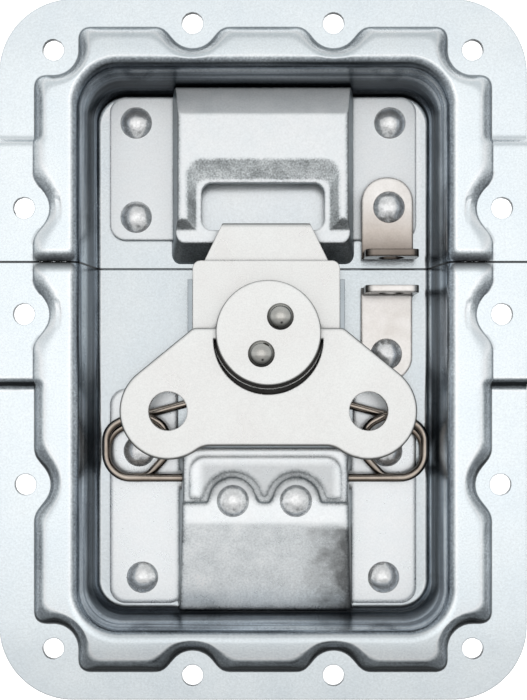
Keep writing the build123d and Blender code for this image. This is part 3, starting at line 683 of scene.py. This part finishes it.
def station_row(floor_point, edge_point, profile):
    """The points of one station, from the floor to the flange's edge, in millimetres."""
    x, y, (normal_x, normal_y) = floor_point
    row = []
    for offset, height in profile:
        point_x, point_y = x + offset * normal_x, y + offset * normal_y
        row.append((point_x, point_y, sheet_height(point_x, point_y, height)))
    start, end = row[-1], edge_point
    length = math.hypot(end[0] - start[0], end[1] - start[1])
    foot = foot_share(start, end)
    band = max(foot - band_reach * band_width / length, foot * crest_part)
    shares = [band * step / crest_steps for step in range(1, crest_steps + 1)]
    shares += [foot - (foot - band) * (1 - step / band_steps) ** 2 for step in range(1, band_steps + 1)]
    shares += [foot + (1 - foot) * step / flange_steps for step in range(1, flange_steps + 1)]
    for share in shares:
        point_x = start[0] + (end[0] - start[0]) * share
        point_y = start[1] + (end[1] - start[1]) * share
        row.append((point_x, point_y, sheet_height(point_x, point_y, crest_z)))
    return row


print(len(recess_profile()), "points from the floor to the mouth")

# %% [markdown]
# ## Holes and halves
# Near a rivet hole the points are pushed out from its centre, so that the mesh has a clean
# round edge there. The finished sheet is cut at the seam, and given its thickness.

# %% Build the dish meshes
cleared_radius, pushed_radius, least_radius = 2.3, 5.4, 0.001
sharp_angle = math.radians(40)


def pushed_from_hole(x, y):
    """Where a point goes when the nearest hole opens, and whether it was inside the hole."""
    for hole_x, hole_y in hole_spots:
        away = math.hypot(x - hole_x, y - hole_y)
        if away < pushed_radius:
            share = max(away - cleared_radius, 0) / (pushed_radius - cleared_radius)
            wanted = hole_radius + share * (pushed_radius - hole_radius)
            scale = wanted / max(away, least_radius)
            return hole_x + (x - hole_x) * scale, hole_y + (y - hole_y) * scale, away < cleared_radius
    return x, y, False


def dish_sheet():
    """A bmesh of the dish's face, in metres, with its holes open."""
    profile = recess_profile()
    floor_points = outline_stations(floor_half, floor_corner)
    edge_points = outline_stations(flange_half, flange_corner)
    mesh = bmesh.new()
    rows, inside = [], set()
    for floor_point, edge_point in zip(floor_points, edge_points):
        row = []
        for x, y, z in station_row(floor_point, edge_point, profile):
            x, y, in_hole = pushed_from_hole(x, y)
            vertex = mesh.verts.new((x * MM, y * MM, z * MM))
            if in_hole:
                inside.add(vertex)
            row.append(vertex)
        rows.append(row)
    for row, following in zip(rows, rows[1:] + rows[:1]):
        for step in range(len(row) - 1):
            corners = (row[step], row[step + 1], following[step + 1], following[step])
            if not all(corner in inside for corner in corners):
                mesh.faces.new(corners)
    mesh.faces.new([row[0] for row in rows])
    loose = [vertex for vertex in mesh.verts if not vertex.link_faces]
    bmesh.ops.delete(mesh, geom=loose, context="VERTS")
    bmesh.ops.recalc_face_normals(mesh, faces=mesh.faces)
    return mesh


def new_piece(name, mesh, material):
    """An object made from a bmesh, with one material."""
    data = bpy.data.meshes.new(name)
    mesh.to_mesh(data)
    mesh.free()
    data.materials.append(material)
    piece = bpy.data.objects.new(name, data)
    bpy.context.scene.collection.objects.link(piece)
    return piece


def dish_half(name, side):
    """One half of the dish, on the side of the seam that side gives (1 or -1)."""
    mesh = dish_sheet()
    bmesh.ops.bisect_plane(
        mesh, geom=mesh.verts[:] + mesh.edges[:] + mesh.faces[:],
        plane_co=(0, (seam_y + side * seam_gap / 2) * MM, 0), plane_no=(0, side, 0), clear_inner=True,
    )
    bmesh.ops.solidify(mesh, geom=mesh.faces[:], thickness=sheet * MM)
    half = new_piece(name, mesh, dish_zinc)
    half.data.shade_smooth()
    half.data.set_sharp_from_angle(angle=sharp_angle)
    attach(half, "case_side")
    return half


for name, side in (("upper_dish", 1), ("lower_dish", -1)):
    half = dish_half(name + "_pressed", side)
    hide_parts(name)
    print(half.name, len(half.data.polygons), "faces", [round(v / MM, 2) for v in half.dimensions])

# %% [markdown]
# ## Hub skirt
# Below the disc the wing has a round cut-out, and through it shows a skirt on the hub: a piece painted
# dark for the shadow in the gap, with a thin bright nickel edge. It is half a ring, on the wing's side of
# the hub, and turns with it.

# %% Skirt below the disc
rotor_centre = (1.3, 4.0)
# Inner and outer radius, lowest and highest Z, finish
skirt_rings = ((12.2, 15.0, -3.1, -2.6, hub_shadow_steel), (13.5, 13.75, -2.6, -2.4, satin_nickel))
skirt_start, skirt_sweep, skirt_steps = 184, 172, 72


def half_ring(name, inner, outer, low_z, high_z, material):
    """A flat half ring below the disc, in millimetres, with a rectangular section."""
    mesh = bmesh.new()
    section = ((inner, low_z), (outer, low_z), (outer, high_z), (inner, high_z))
    rings = []
    for step in range(skirt_steps + 1):
        angle = math.radians(skirt_start + skirt_sweep * step / skirt_steps)
        rings.append([
            mesh.verts.new((
                (rotor_centre[0] + radius * math.cos(angle)) * MM,
                (rotor_centre[1] + radius * math.sin(angle)) * MM,
                z * MM,
            ))
            for radius, z in section
        ])
    for ring, following in zip(rings, rings[1:]):
        for corner in range(4):
            after = (corner + 1) % 4
            mesh.faces.new((ring[corner], ring[after], following[after], following[corner]))
    mesh.faces.new(rings[0])
    mesh.faces.new(rings[-1][::-1])
    bmesh.ops.recalc_face_normals(mesh, faces=mesh.faces)
    piece = new_piece(name, mesh, material)
    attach(piece, "rotor")
    return piece


for number, values in enumerate(skirt_rings):
    skirt = half_ring(f"hub_shadow_skirt_{number}", *values)
    print(skirt.name)

# %% [markdown]
# ## Floor and background
# The latch lies on a white table. Seen by the camera, or in a reflection, the table is
# nearly white by itself. Its own shading is added to that, so the latch still has a shadow.
# The table top is a hair below the rivet tails, so no two faces lie in one plane.

# %% White table
low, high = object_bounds()
reach, hair, glow_strength = 2.0, 0.05, 0.85
table_top = low.z - hair * MM
floor_mesh = bpy.data.meshes.new("floor")
floor_mesh.from_pydata(
    [(x, y, table_top) for x, y in ((-reach, -reach), (reach, -reach), (reach, reach), (-reach, reach))],
    [], [(0, 1, 2, 3)],
)
floor = bpy.data.objects.new("floor", floor_mesh)
bpy.context.scene.collection.objects.link(floor)
# White card: matt, with a glow of its own where the eye or a mirror sees it
white_table, tree = new_material("white_table")
path = add_node(tree, "LightPath").outputs
matte = add_node(tree, "BsdfDiffuse", {"Color": linear("#F2F2F2")})
glow = add_node(tree, "Emission", {"Color": linear("#FFFFFF"), "Strength": glow_strength})
both = add_node(tree, "AddShader", (matte, glow))
seen = add_node(tree, "Math", (path["Is Camera Ray"], path["Is Glossy Ray"]), operation="ADD")
seen = add_node(tree, "Math", (seen, path["Is Transmission Ray"]), operation="ADD")
add_node(tree, "OutputMaterial", {"Surface": add_node(tree, "MixShader", (seen, matte, both))})
floor_mesh.materials.append(white_table)
floor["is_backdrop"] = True
print("table top at", round(table_top / MM, 2), "mm")

# %% [markdown]
# ## Light
# The latch lies in a studio tent. Straight above it the tent is white, and it goes darker
# towards the horizon and its two ends, with one dark spot where a stand leans in. So flat
# faces shine, and whatever is bent or steep falls into shade. The tent is pale but for that
# spot, and it is what the metal mirrors. Behind the latch the camera sees plain white.

# %% Studio light
# All ranges are parts of a unit direction: in Z, 0 is the horizon and 1 is straight up
tent_stops = ((0.0, "#E0E3E5"), (0.35, "#E6E9EA"), (0.64, "#E0E2E3"), (0.80, "#EBECED"), (0.90, "#FFFFFF"))
tent_strength = 1.1
# Where the tent's ends begin and finish going darker, and the part of its light they keep
far_end_run, far_end_part = (0.12, 0.36), 0.86
near_end_run, near_end_part = (-0.14, -0.36), 0.68
# The stand's direction, its dark middle and soft edge, and the part of the light it leaves
stand_direction, stand_run, stand_part = (0.16, -0.76, 0.62), (0.08, 0.24), 0.10
softbox_place, softbox_size, softbox_power = (0.0, 0.1, 0.9), 0.7, 0.25

scene = bpy.context.scene
world = bpy.data.worlds.new("studio_tent")
scene.world = world
world.use_nodes = True
tree = world.node_tree
tree.nodes.clear()
direction = add_node(tree, "TexCoord").outputs["Generated"]
parts = add_node(tree, "SeparateXYZ", (direction,)).outputs
far_end = add_node(tree, "MapRange", (parts["Y"], *far_end_run, 1.0, far_end_part))
near_end = add_node(tree, "MapRange", (parts["Y"], *near_end_run, 1.0, near_end_part))
from_stand = add_node(tree, "VectorMath", (direction, stand_direction), operation="DISTANCE")
stand = add_node(tree, "MapRange", (from_stand.outputs["Value"], *stand_run, stand_part, 1.0))
strength = add_node(tree, "Math", (far_end, near_end), operation="MULTIPLY")
for factor in (tent_strength, stand):
    strength = add_node(tree, "Math", (strength, factor), operation="MULTIPLY")
tent_colour = add_node(tree, "ValToRGB", (parts["Z"],), tent_stops)
tent = add_node(tree, "Background", {"Color": tent_colour, "Strength": strength})
backdrop = add_node(tree, "Background", {"Color": linear("#FFFFFF"), "Strength": 1.0})
camera_ray = add_node(tree, "LightPath").outputs["Is Camera Ray"]
add_node(tree, "OutputWorld", {"Surface": add_node(tree, "MixShader", (camera_ray, tent, backdrop))})

# A square softbox overhead turns to the middle of the latch
lamp = bpy.data.lights.new("overhead_softbox", "AREA")
lamp.shape = "RECTANGLE"
lamp.size = lamp.size_y = softbox_size
lamp.energy = softbox_power
light = bpy.data.objects.new("overhead_softbox", lamp)
light.location = softbox_place
middle = (low + high) / 2
light.rotation_euler = (middle - Vector(softbox_place)).to_track_quat("-Z", "Y").to_euler()
scene.collection.objects.link(light)
print(world.name, "and", light.name)

# %% [markdown]
# ## Camera
# The camera looks straight down on the latch from a quarter of a metre above its flange. Its
# axis meets the latch a little below the middle, and a small lens shift centres the view.

# %% Camera
lens_height, view_height, axis_y, sensor = 250, 170.59, -8.65, 36
camera_data = bpy.data.cameras.new("camera")
camera_data.sensor_width = sensor
camera_data.lens = sensor * lens_height / view_height
camera_data.shift_x, camera_data.shift_y = 0.0007, 0.05
camera = bpy.data.objects.new("camera", camera_data)
camera.location = (0, axis_y * MM, lens_height * MM)
scene.collection.objects.link(camera)
scene.camera = camera
scene.view_settings.view_transform = "Standard"
print("lens of", round(camera_data.lens, 1), "mm")

# %% [markdown]
# ## Sizes
# The dressed latch has to fill the same box as the model, so its box is measured again here.

# %% Measure the sizes
low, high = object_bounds()
